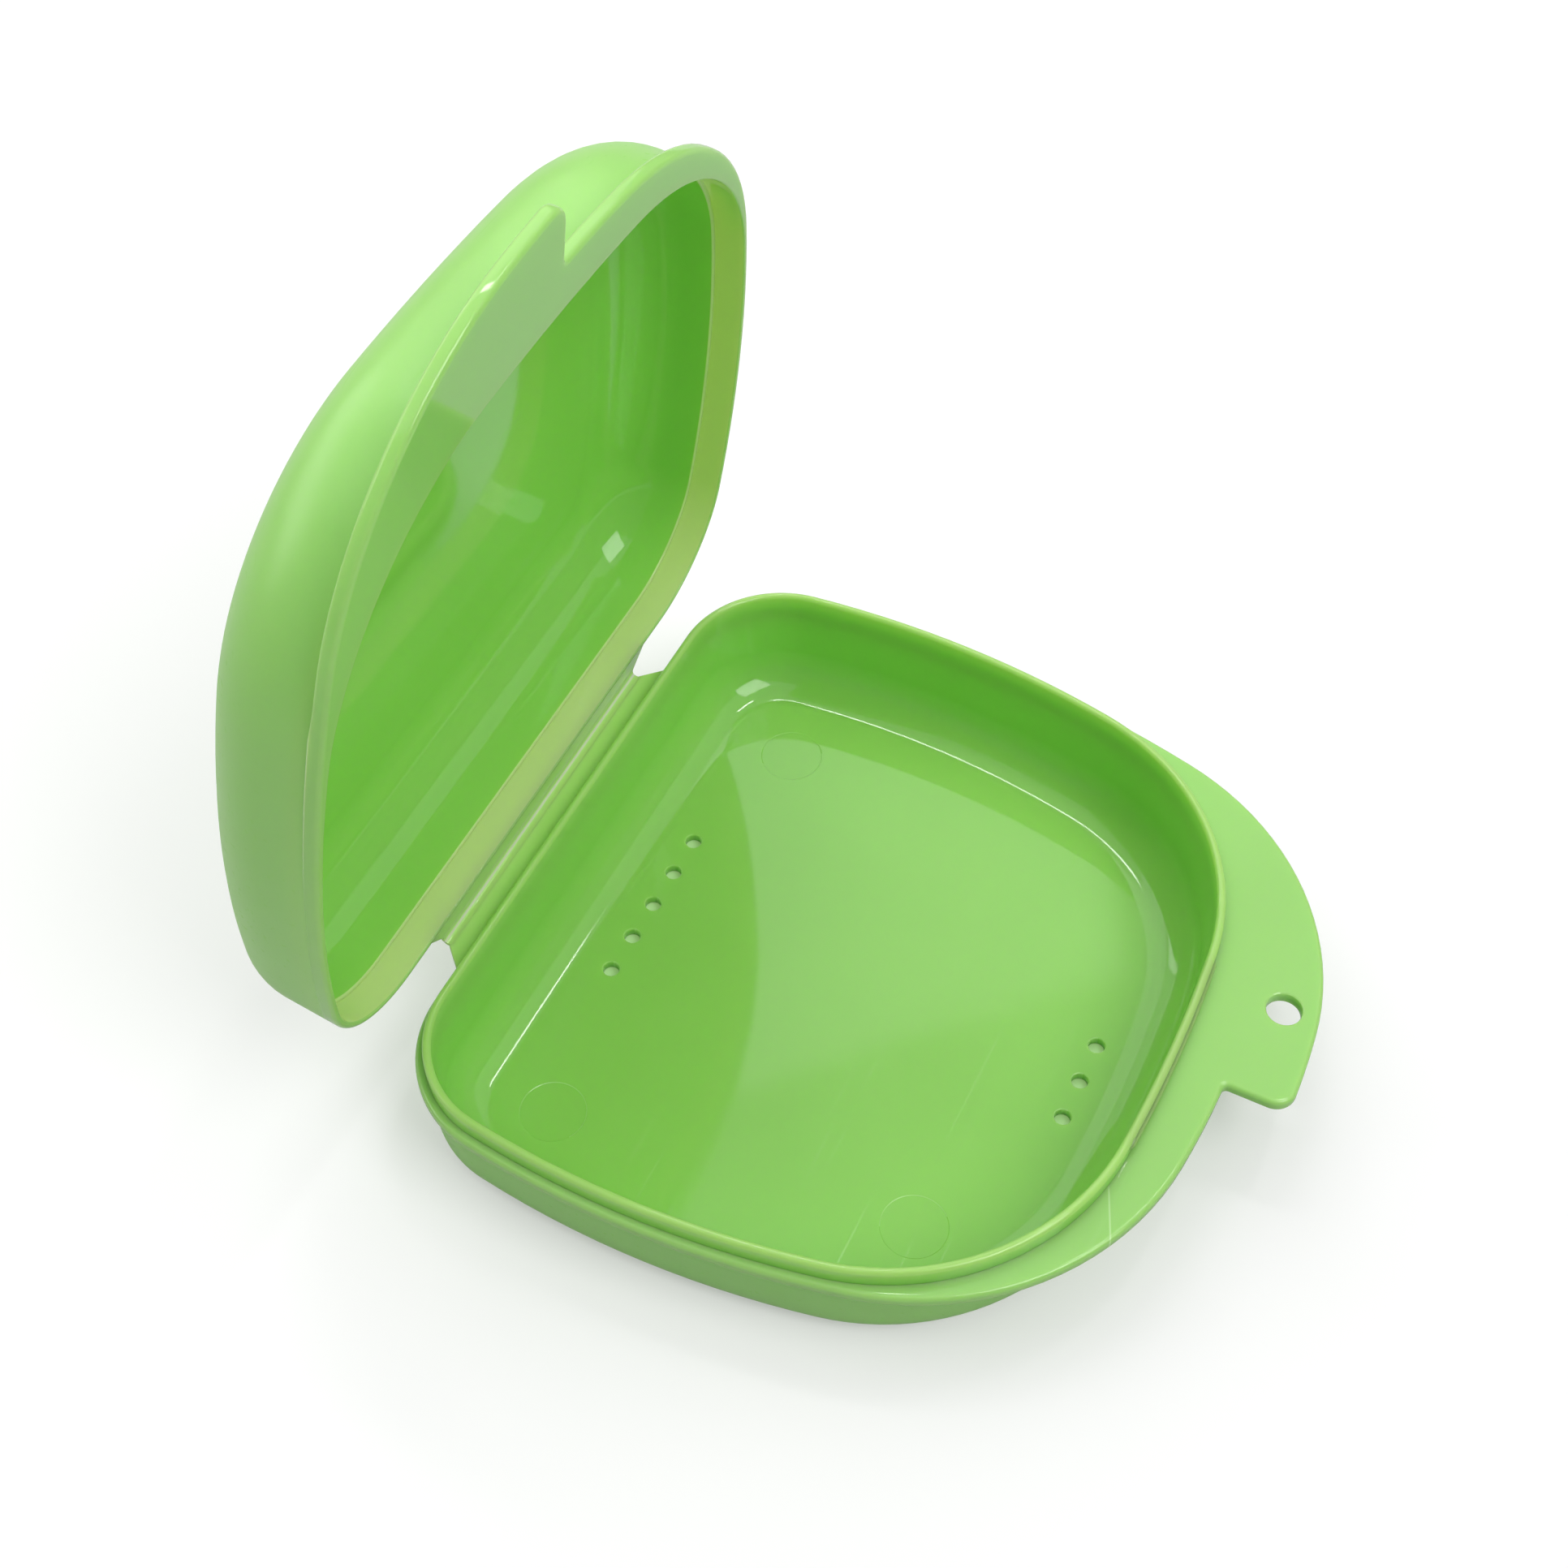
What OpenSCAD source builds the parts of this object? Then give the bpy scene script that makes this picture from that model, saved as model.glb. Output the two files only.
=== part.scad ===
// Retainer case: a shallow tray and a domed lid moulded in one shot of polypropylene,
// joined along the back by a living hinge. The lid is drawn standing open.
// Millimetres. X runs along the hinge, -Y is the front, Z is up, z = 0 is the underside.

/* [Case outline] */
// Width over the rim, along the hinge
case_w = 84.4; // [74:0.1:96]
// Depth over the rim, from the hinge side to the front, without the flange
case_d = 74.3; // [66:0.1:86]
// Distance from the rear rim edge forward to the widest line of the case
widest_from_rear = 26.5; // [23:0.1:32]
// Radius of the two corners beside the hinge
rear_corner_r = 13.5; // [12:0.1:17]
// Radius of the bowed sides
side_bow_r = 114; // [95:1:180]
// Radius of the two front corners
front_corner_r = 29.6; // [24:0.1:33]
// Radius of the bowed front
front_bow_r = 176; // [130:1:260]

/* [Base tray] */
// Height of the tray's seat above the underside
base_h = 12.6; // [11:0.1:18]
// Thickness of the tray floor
floor_t = 1.15; // [0.9:0.05:2]
// Thickness of the tray wall below the rim
base_wall_t = 1.25; // [1:0.05:1.6]
// Draft of the tray walls in degrees
base_draft = 3.5; // [1:0.5:6]
// Radius inside the tray between floor and wall
floor_fillet_r = 5.2; // [3:0.1:6.5]
// Radius outside the tray between underside and wall
base_edge_r = 4.2; // [3:0.1:6.5]

/* [Lip and seat] */
// Height of the upright lip above the seat
lip_h = 2.3; // [1.6:0.1:2.8]
// Thickness of the lip
lip_t = 0.95; // [0.8:0.05:1.2]
// Width of the flat seat outside the lip
seat_w = 0.98; // [0.9:0.01:1.3]
// Gap between the lip and the recess in the lid when shut
lip_clear = 0.18; // [0.15:0.01:0.25]
// Gap between the seat and the lid rim when shut
seat_gap = 0.16; // [0.1:0.01:0.3]
// Thickness of the flat rim round the tray
rim_t = 1.55; // [1.15:0.05:1.9]
// Rounding of the outer rim edges
edge_r = 0.5; // [0.2:0.05:0.55]

/* [Catch] */
// Length of the catch bead along the front of the lip
catch_l = 24; // [14:0.5:25]
// Radius of the catch bead's section
catch_r = 0.45; // [0.35:0.05:0.5]
// How far the catch bead stands out of the lip
catch_proud = 0.3; // [0.2:0.02:0.34]
// Height of the catch bead above the seat
catch_up = 1.2; // [1:0.1:1.5]
// Clearance of the groove round the catch bead
catch_clear = 0.15; // [0.1:0.01:0.2]

/* [Drain holes] */
// Diameter of the drain holes
drain_d = 1.8; // [1.2:0.1:3]
// Pitch of the drain holes along a row
drain_pitch = 5; // [4:0.1:7]
// Number of holes in the row beside the hinge
drain_rear_count = 5; // [1:1:7]
// Number of holes in the row at the front
drain_front_count = 3; // [1:1:5]
// Distance of the rear row from the rear rim edge
drain_rear_inset = 10.8; // [10.5:0.1:20]
// Distance of the front row from the front rim edge
drain_front_inset = 10.5; // [10:0.1:20]

/* [Front flange] */
// Reach of the narrow half of the flange past the rim, on the centre line
crescent_reach = 4.5; // [3:0.1:6]
// Reach of the thumb tab past the rim, on the centre line
tab_reach = 11.6; // [10:0.1:14]
// Radius of the flange's front corners
flange_corner_r = 32.5; // [26:0.5:36]
// Radius of the flange's bowed front
flange_bow_r = 100; // [80:1:140]
// Radius of the thumb tab's outer side
tab_side_r = 141; // [120:1:180]
// Place of the step between tab and narrow half along the hinge direction
step_x = -0.4; // [-4:0.1:4]
// Rounding of the thumb tab's free corner
tab_corner_r = 2.3; // [1:0.1:2.6]
// Fillet where the tab steps back to the narrow half
step_fillet_r = 0.6; // [0.4:0.1:1]
// Diameter of the cord hole in the base tab
tab_hole_d = 3.8; // [3:0.1:5]
// Place of the cord hole along the hinge direction
tab_hole_x = 11; // [6:0.1:16]
// Distance of the cord hole from the tab's front edge
tab_hole_inset = 4.5; // [4:0.1:6.5]

/* [Lid] */
// Height of the lid from its rim to its roof
lid_h = 14.9; // [13:0.1:20]
// Thickness of the lid wall above the recess
lid_wall_t = 1.3; // [1.1:0.05:1.6]
// Thickness of the roof
roof_t = 1.15; // [0.9:0.05:2]
// Draft of the lid walls in degrees
lid_draft = 3.2; // [1:0.1:5]
// Radius outside the lid between roof and wall
roof_edge_r = 8.6; // [6:0.1:9.5]
// Radius inside the lid between roof and wall
roof_fillet_r = 7.4; // [5:0.1:8.5]
// Depth of the recess in the lid rim that takes the lip
recess_h = 3.45; // [3.1:0.05:4.2]

/* [Living hinge] */
// Distance of the hinge line behind the rear rim edge
hinge_out = 2.75; // [2:0.05:4]
// Length of the strap along the hinge line
strap_l = 42.4; // [30:0.1:44]
// Thickness of the two strap leaves
leaf_t = 1; // [0.8:0.05:1.2]
// How much further each end of a leaf reaches where it meets its rim
flare_w = 2.2; // [0.5:0.1:3]
// Width of the thin film between the leaves
film_w = 1; // [0.8:0.05:1.4]
// Thickness of the film
film_t = 0.4; // [0.3:0.05:0.6]
// Lid angle from shut, as drawn
open_angle = 82.7; // [30:0.1:150]

/* [Hidden] */
$fn = 128;

green = [0.42, 0.72, 0.25];
dark_green = [0.33, 0.6, 0.2];
pale_green = [0.62, 0.83, 0.45];

// Places that several pieces share
rear_y = widest_from_rear;
front_y = rear_y - case_d;
hinge_y = rear_y + hinge_out;
part_z = base_h + seat_gap / 2;
seat_z = base_h;
lid_z = part_z + seat_gap / 2;
lip_out = -seat_w;
lip_in = lip_out - lip_t;
lip_top = seat_z + lip_h;
recess_out = lip_out + lip_clear;
tray_top = seat_z - rim_t;
catch_o = lip_out + catch_proud - catch_r;
catch_z = seat_z + catch_up;
half_strap = strap_l / 2;
leaf_end_y = hinge_y - film_w / 2;

// Largest distance between a curve and the flat facets that stand for it
sag = 0.025;
cut = 0.5;

function heading(from, to) = atan2(to[1] - from[1], to[0] - from[0]);

function flip(v) = [-v[0], v[1]];

function reversed(list) = [for (i = [len(list) - 1:-1:0]) list[i]];

// Directions along an arc, in equal steps fine enough for the sag
function turns(r, from, to) =
    let (steps = max(2, ceil(abs(to - from) / (2 * acos(1 - sag / r)))))
    [for (i = [0:steps]) let (t = from + (to - from) * i / steps) [cos(t), sin(t)]];

// Points on an arc about c
function arc(c, r, from, to) = [for (n = turns(r, from, to)) c + r * n];

// Centre of a corner circle that lies inside the side and front circles and touches both
function corner_centre(side_c, side_r, front_c, front_r, r) =
    let (d = norm(front_c - side_c),
         u = (front_c - side_c) / d,
         a = (pow(side_r - r, 2) - pow(front_r - r, 2) + d * d) / (2 * d),
         h = sqrt(pow(side_r - r, 2) - a * a))
    side_c + a * u + h * [u[1], -u[0]];

// The right half of an outline from the widest line to the front, as tangent arcs
// [centre, radius, from, to]. The last arc stops at the heading end.
function half_arcs(side_r, corner_r, bow_r, reach, end) =
    let (side_c = [case_w / 2 - side_r, 0],
         front_c = [0, front_y - reach + bow_r],
         corner_c = corner_centre(side_c, side_r, front_c, bow_r, corner_r),
         side_end = heading(side_c, corner_c),
         front_end = heading(front_c, corner_c))
    [[side_c, side_r, 0, side_end],
     [corner_c, corner_r, side_end, front_end],
     [front_c, bow_r, front_end, end]];

// Stations along tangent arcs, each [point, direction outward]. Every arc leaves its last point to the next.
function stations(arcs) =
    [for (a = arcs)
        let (dirs = turns(a[1], a[2], a[3]))
        for (i = [0:len(dirs) - 2]) [a[0] + a[1] * dirs[i], dirs[i]]];

function flipped(line) = [for (st = reversed(line)) [flip(st[0]), flip(st[1])]];

// The rear corner touches the straight rear edge and the side circle
side_centre = [case_w / 2 - side_bow_r, 0];
rear_c_y = rear_y - rear_corner_r;
rear_centre = [side_centre[0] + sqrt(pow(side_bow_r - rear_corner_r, 2) - rear_c_y * rear_c_y), rear_c_y];
side_top = heading(side_centre, rear_centre);

// Outline of the rim: the straight rear edge closes it from its last station to its first
rear_half = stations([[rear_centre, rear_corner_r, 90, side_top],
                      [side_centre, side_bow_r, side_top, 0]]);
front_half = stations(half_arcs(side_bow_r, front_corner_r, front_bow_r, 0, -90));
front_mid = [[[0, front_y], [0, -1]]];
rim_line = concat(rear_half, front_half, front_mid, flipped(front_half), flipped(rear_half));

// Outline with the front flange: a thumb tab right of the step at x, a narrow crescent left of it
tab_bow_y = front_y - tab_reach + flange_bow_r;
crescent_bow_y = front_y - crescent_reach + flange_bow_r;

function tab_half(x) =
    let (corner_x = x + tab_corner_r,
         corner = [corner_x, tab_bow_y - sqrt(pow(flange_bow_r - tab_corner_r, 2) - corner_x * corner_x)],
         end = heading([0, tab_bow_y], corner))
    concat(stations(concat(half_arcs(tab_side_r, flange_corner_r, flange_bow_r, tab_reach, end),
                           [[corner, tab_corner_r, end, -180]])),
           [[[x, corner[1]], [-1, 0]]]);

function crescent_half(x) =
    let (fillet_x = x + step_fillet_r,
         fillet = [fillet_x, crescent_bow_y - sqrt(pow(flange_bow_r + step_fillet_r, 2) - fillet_x * fillet_x)],
         end = heading([0, crescent_bow_y], fillet))
    concat(stations(half_arcs(side_bow_r, flange_corner_r, flange_bow_r, crescent_reach, end)),
           [for (n = turns(step_fillet_r, end, 0)) [fillet - step_fillet_r * n, n]]);

function flange_line(x) =
    concat(rear_half, tab_half(x), flipped(crescent_half(-x)), flipped(rear_half));

// Every outline can be seen whole from here, so flat ends are closed by a fan about this point
hub = [case_w / 10, 0];

// A section point [offset outward, z] carried to a station
function carried(st, p) = concat(st[0] + p[0] * st[1], p[1]);

// Carries a section line round an outline. The rings at its two ends are closed by flat fans.
module loft(line, section) {
    n = len(section);
    m = len(line);
    points = concat([for (p = section) each [for (st = line) carried(st, p)]],
                    [concat(hub, section[0][1]), concat(hub, section[n - 1][1])]);
    walls = [for (i = [0:n - 2]) for (j = [0:m - 1])
        let (a = i * m, k = (j + 1) % m)
        [a + j, a + k, a + m + k, a + m + j]];
    ends = [for (j = [0:m - 1])
        let (a = (n - 1) * m, k = (j + 1) % m)
        each [[k, j, n * m], [a + j, a + k, n * m + 1]]];
    polyhedron(points, concat(walls, ends), convexity = 8);
}

// Upright block inside the rim outline moved outward by d
module rim_block(d, z, h) {
    translate([0, 0, z])
        linear_extrude(h)
            polygon([for (st = rim_line) st[0] + d * st[1]]);
}

// Section line of a moulded cup, from its closed end at z up its rounded edge and drafted wall to [top_o, top_z]
function cup_line(top_o, top_z, z, draft, r) =
    let (mid_o = top_o - (top_z - z - r) * tan(draft) - r / cos(draft))
    concat(arc([mid_o, z + r], r, -90, -draft), [[top_o, top_z]]);

// Up the outside of the tray, over the step that the rim sits on and the lip, down inside to the floor
crown_z = lip_top - lip_t / 2;
crown = arc([lip_out - lip_t / 2, crown_z], lip_t / 2, 0, 180);
tray_section = concat(cup_line(lip_in + base_wall_t, tray_top, 0, base_draft, base_edge_r),
                      [[lip_out, tray_top]],
                      [for (i = [0:len(crown) - 2]) crown[i]],
                      reversed(cup_line(lip_in, crown_z, floor_t, base_draft, floor_fillet_r)));

// The lid's section as a cup: down inside its roof and wall to the open edge, and up its outside
shell_h = lid_h - recess_h;
lid_cup = concat(cup_line(-lid_wall_t, shell_h, roof_t, lid_draft, roof_fillet_r),
                 reversed(cup_line(0, shell_h, 0, lid_draft, roof_edge_r)));
lid_section = [for (p = lid_cup) [p[0], lid_z + lid_h - p[1]]];

module drain_row(count, y) {
    for (i = [0:count - 1])
        translate([(i - (count - 1) / 2) * drain_pitch, y, -cut])
            cylinder(d = drain_d, h = floor_t + 2 * cut);
}

// Bead on the lip's front face, or with play, the groove that it drops into
module catch_bead(play) {
    span = (catch_l + 2 * play) / front_bow_r * 180 / PI;
    translate([0, front_y + front_bow_r, catch_z])
        rotate([0, 0, -90 - span / 2])
            rotate_extrude(angle = span)
                translate([front_bow_r + catch_o, 0])
                    circle(catch_r + play);
}

// Floor, drafted walls and lip of the tray, with the two rows of drain holes
module base_tray() {
    color(green)
        difference() {
            union() {
                loft(rim_line, tray_section);
                catch_bead(0);
            }
            drain_row(drain_rear_count, rear_y - drain_rear_inset);
            drain_row(drain_front_count, front_y + drain_front_inset);
        }
}

// Flat rim round the tray, with the base's half of the thumb tabs and the cord hole
module base_rim() {
    edge = concat(arc([-edge_r, tray_top + edge_r], edge_r, -90, 0),
                  arc([-edge_r, seat_z - edge_r], edge_r, 0, 90));
    color(pale_green)
        difference() {
            loft(flange_line(step_x), edge);
            rim_block(lip_out, tray_top - cut, rim_t + 2 * cut);
            translate([tab_hole_x, front_y - tab_reach + tab_hole_inset, tray_top - cut])
                cylinder(d = tab_hole_d, h = rim_t + 2 * cut);
        }
}

// One leaf of the strap seen from above, wider where it meets the rim
module leaf_plan() {
    polygon([[-half_strap - flare_w, rear_y], [half_strap + flare_w, rear_y],
             [half_strap, leaf_end_y], [-half_strap, leaf_end_y]]);
}

module base_hinge_leaf() {
    color(dark_green)
        translate([0, 0, seat_z - leaf_t])
            linear_extrude(leaf_t)
                leaf_plan();
}

// Thin film bent round the hinge line from the end of one leaf to the end of the other
module hinge_film() {
    mid_z = seat_gap / 2 + film_t / 2;
    turn = 180 - open_angle;
    bend_r = (mid_z / tan(open_angle / 2) + film_w / 2) / tan(turn / 2);
    far = 4 * (bend_r + film_t);
    color(pale_green)
        translate([-half_strap, leaf_end_y, part_z - mid_z + bend_r])
            rotate([90, 0, 90])
                linear_extrude(strap_l)
                    intersection() {
                        difference() {
                            circle(bend_r + film_t / 2);
                            circle(bend_r - film_t / 2);
                        }
                        polygon([[0, 0], [0, -far], [far, -far],
                                 [far, far * sin(turn - 90)], far * [sin(turn), -cos(turn)]]);
                    }
}

// Turns the shut lid about the hinge line to its open angle
module opened() {
    translate([0, hinge_y, part_z])
        rotate([-open_angle, 0, 0])
            translate([0, -hinge_y, -part_z])
                children();
}

module lid_hinge_leaf() {
    color(dark_green)
        opened()
            translate([0, 0, lid_z])
                linear_extrude(leaf_t)
                    leaf_plan();
}

// Rim round the lid: the recess wall that drops over the lip, and the lid's half of the thumb tabs
module lid_rim() {
    edge = concat(arc([-edge_r, lid_z + edge_r], edge_r, -90, 0), [[0, lid_z + rim_t]]);
    color(pale_green)
        opened()
            difference() {
                union() {
                    mirror([1, 0, 0]) loft(flange_line(-step_x), edge);
                    rim_block(0, lid_z + rim_t, recess_h - rim_t);
                }
                rim_block(recess_out, lid_z - cut, recess_h + 2 * cut);
                catch_bead(catch_clear);
            }
}

// Domed shell of the lid
module lid_shell() {
    color(green)
        opened()
            loft(rim_line, lid_section);
}

base_tray();
base_rim();
base_hinge_leaf();
hinge_film();
lid_hinge_leaf();
lid_rim();
lid_shell();
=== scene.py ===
import math

import bmesh
import bpy
from mathutils import Matrix, Vector


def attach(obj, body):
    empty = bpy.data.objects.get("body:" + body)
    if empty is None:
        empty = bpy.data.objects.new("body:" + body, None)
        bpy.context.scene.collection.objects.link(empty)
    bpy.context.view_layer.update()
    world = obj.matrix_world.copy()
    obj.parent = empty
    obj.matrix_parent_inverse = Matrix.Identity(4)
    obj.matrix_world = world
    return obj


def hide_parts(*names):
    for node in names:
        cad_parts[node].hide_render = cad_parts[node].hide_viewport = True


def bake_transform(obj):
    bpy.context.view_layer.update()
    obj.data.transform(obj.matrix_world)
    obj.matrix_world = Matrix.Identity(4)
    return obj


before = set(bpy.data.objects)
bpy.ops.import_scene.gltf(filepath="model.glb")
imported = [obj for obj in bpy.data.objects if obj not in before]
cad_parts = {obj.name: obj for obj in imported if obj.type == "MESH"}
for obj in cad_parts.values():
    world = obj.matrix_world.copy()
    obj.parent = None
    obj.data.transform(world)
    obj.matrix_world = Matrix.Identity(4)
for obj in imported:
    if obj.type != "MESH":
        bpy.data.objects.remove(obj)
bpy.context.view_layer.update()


# The tray is the lower half of the case: a shallow cup with drafted walls and a rounded upright lip.
# It is injection moulded in slightly see-through green polypropylene, in one shot with the rest.
# Two rows of drain holes go through its floor, and ejector pins have left round marks beside them.
MM = 0.001
case_w, case_d, rear_y = 84.4, 74.3, 26.5
front_y = rear_y - case_d
rear_corner_r, side_bow_r, front_corner_r, front_bow_r = 13.5, 114, 29.6, 176
seat_z, floor_t, base_wall_t, base_draft = 12.6, 1.15, 1.25, 3.5
floor_fillet_r, base_edge_r = 5.2, 4.2
lip_h, lip_t, seat_w, rim_t, edge_r = 2.3, 0.95, 0.98, 1.55, 0.5
lip_out = -seat_w
lip_in = lip_out - lip_t
lip_top = seat_z + lip_h
crown_z = lip_top - lip_t / 2
tray_top = seat_z - rim_t
drain_r, drain_pitch, drain_soft, drain_sides = 0.9, 5, 0.16, 28
drain_rows = ((5, rear_y - 10.8), (3, front_y + 10.5))
pin_spots = ((-28.9, 12.4), (-24, -28.3), (26.7, 11))
pin_r, pin_depth, pin_sides = 3.7, 0.05, 56
# Narrow flats where a rounding runs out, the slack in finding heights, and what counts as level.
flat_w = 0.3
slack = 0.01
level = 0.9


def heading(a, b):
    """Direction from a to b, in degrees from +X."""
    return math.degrees(math.atan2(b[1] - a[1], b[0] - a[0]))


def corner_centre(side_c, side_r, front_c, front_r, r):
    """Centre of a corner circle inside the side and front circles that touches both."""
    s, f = Vector(side_c), Vector(front_c)
    d = (f - s).length
    u = (f - s) / d
    a = ((side_r - r) ** 2 - (front_r - r) ** 2 + d * d) / (2 * d)
    h = math.sqrt((side_r - r) ** 2 - a * a)
    return tuple(s + a * u + h * Vector((u.y, -u.x)))


def front_half(side_r, corner_r, bow_r, reach, end):
    """Right half of an outline from the widest line to the front, as [centre, from, to] arcs."""
    side_c = (case_w / 2 - side_r, 0)
    front_c = (0, front_y - reach + bow_r)
    corner_c = corner_centre(side_c, side_r, front_c, bow_r, corner_r)
    side_end, front_end = heading(side_c, corner_c), heading(front_c, corner_c)
    return [[side_c, 0, side_end], [corner_c, side_end, front_end], [front_c, front_end, end]]


side_centre = (case_w / 2 - side_bow_r, 0)
rear_c_y = rear_y - rear_corner_r
rear_centre = (side_centre[0] + math.sqrt((side_bow_r - rear_corner_r) ** 2 - rear_c_y ** 2), rear_c_y)
side_top = heading(side_centre, rear_centre)
rear_legs = [[rear_centre[0], 0], [rear_centre, 90, side_top], [side_centre, side_top, 0]]
front_legs = front_half(side_bow_r, front_corner_r, front_bow_r, 0, -90)


def other_side(legs):
    """The same legs on the left half, still walked away from the centre line."""
    return [[-leg[0], leg[1]] if len(leg) == 2 else [(-leg[0][0], leg[0][1]), -180 - leg[1], -180 - leg[2]]
            for leg in legs]


def way_back(legs):
    """The left half's legs walked back to the centre line."""
    return [[-leg[0], -leg[1]] if len(leg) == 2 else [leg[0], leg[2], leg[1]]
            for leg in reversed(other_side(legs))]


def only(geom, kind):
    """Those of an operator's results that are of one kind."""
    return [g for g in geom if isinstance(g, kind)]


def drawn_out(bm, edges):
    """Draws a new row of edges out of a row, joined to it by faces: gives its vertices and edges."""
    out = bmesh.ops.extrude_edge_only(bm, edges=edges)["geom"]
    verts = only(out, bmesh.types.BMVert)
    new = set(verts)
    return verts, [e for e in only(out, bmesh.types.BMEdge) if new.issuperset(e.verts)]


def carry(bm, edges, legs):
    """Carries a section along legs: [dx, dy] is straight, [centre, from, to] turns about a centre."""
    widest_turn, longest_step = math.radians(3.5), 3
    for leg in legs:
        if len(leg) == 2:
            verts, edges = drawn_out(bm, edges)
            bmesh.ops.translate(bm, verts=verts, vec=(*leg, 0))
        elif abs(leg[2] - leg[1]) > 1e-6:
            verts = list(dict.fromkeys(v for e in edges for v in e.verts))
            turn = math.radians(leg[2] - leg[1])
            reach = max((v.co.xy - Vector(leg[0])).length for v in verts)
            steps = max(2, math.ceil(max(abs(turn) / widest_turn, abs(turn) * reach / longest_step)))
            out = bmesh.ops.spin(bm, geom=verts + edges, cent=(*leg[0], 0), axis=(0, 0, 1), dvec=(0, 0, 0),
                                 angle=turn, steps=steps, use_merge=False, use_duplicate=False)
            edges = only(out["geom_last"], bmesh.types.BMEdge)
    return edges


def draw(bm, start, strokes):
    """Draws a section line at the middle of the rear edge, in (offset outward, height).
    A stroke (o, z) goes straight there, and (o, z, degrees) turns about that centre."""
    small_r, small_step, wide_step = 1, 14, 7
    point = bm.verts.new((0, rear_y + start[0], start[1]))
    for s in strokes:
        at = Vector((0, rear_y + s[0], s[1]))
        if len(s) == 2:
            point = bmesh.ops.extrude_vert_indiv(bm, verts=[point])["verts"][0]
            point.co = at
        else:
            step = small_step if (point.co - at).length < small_r else wide_step
            out = bmesh.ops.spin(bm, geom=[point], cent=at, axis=(1, 0, 0), dvec=(0, 0, 0),
                                 angle=math.radians(s[2]), steps=max(4, math.ceil(abs(s[2]) / step)),
                                 use_merge=False, use_duplicate=False)
            point = only(out["geom_last"], bmesh.types.BMVert)[0]
    return bm.edges[:]


def both_sides(bm):
    """Mirrors the right half across the centre plane and joins it there."""
    bmesh.ops.mirror(bm, geom=bm.verts[:] + bm.edges[:] + bm.faces[:], merge_dist=1e-4, axis="X")
    bmesh.ops.remove_doubles(bm, verts=bm.verts[:], dist=1e-4)


def open_edges(bm, z):
    """Boundary edges that lie at the height z."""
    return [e for e in bm.edges if e.is_boundary and all(abs(v.co.z - z) < 1e-3 for v in e.verts)]


def fill_flat(bm, z, normal):
    """Closes everything that is open at the height z, apart from the holes in it, as a true flat."""
    flat = bm.faces.layers.int.get("flat") or bm.faces.layers.int.new("flat")
    out = bmesh.ops.triangle_fill(bm, edges=open_edges(bm, z), use_beauty=True, normal=normal)["geom"]
    for f in only(out, bmesh.types.BMFace):
        f[flat] = 1


def edges_of(verts):
    """Edges at these vertices, each of them once."""
    return list(dict.fromkeys(e for v in verts for e in v.link_edges))


def ring(bm, x, y, z, r, segments):
    """A circle of edges lying flat."""
    verts = bmesh.ops.create_circle(bm, cap_ends=False, radius=r, segments=segments,
                                    matrix=Matrix.Translation((x, y, z)))["verts"]
    return edges_of(verts)


def ring_to(bm, edges, x, y, scale, dz):
    """Draws a ring out to another width and height."""
    verts, edges = drawn_out(bm, edges)
    bmesh.ops.scale(bm, verts=verts, vec=(scale, scale, 1), space=Matrix.Translation((-x, -y, 0)))
    bmesh.ops.translate(bm, verts=verts, vec=(0, 0, dz))
    return edges


def through_hole(bm, x, y, r, top, bottom, soft, segments):
    """A round hole from top to bottom with softened edges: rings drawn down from its upper edge."""
    edges = ring(bm, x, y, top, r + soft, segments)
    # Halfway round a softened edge, the hole is this much wider and the face this much lower.
    bow = soft * 0.3
    radius, height = r + soft, top
    for next_r, next_z in ((r + bow, top - bow), (r, top - soft), (r, bottom + soft),
                           (r + bow, bottom + bow), (r + soft, bottom)):
        edges = ring_to(bm, edges, x, y, next_r / radius, next_z - height)
        radius, height = next_r, next_z


def pin_mark(bm, x, y, r, depth):
    """A round mark left in the floor by an ejector pin."""
    flat = bm.faces.layers.int.get("flat") or bm.faces.layers.int.new("flat")
    edges = ring_to(bm, ring(bm, x, y, floor_t, r, pin_sides), x, y, 1 - 2 * depth / r, -depth)
    bmesh.ops.contextual_create(bm, geom=edges)["faces"][0][flat] = 1


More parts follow.
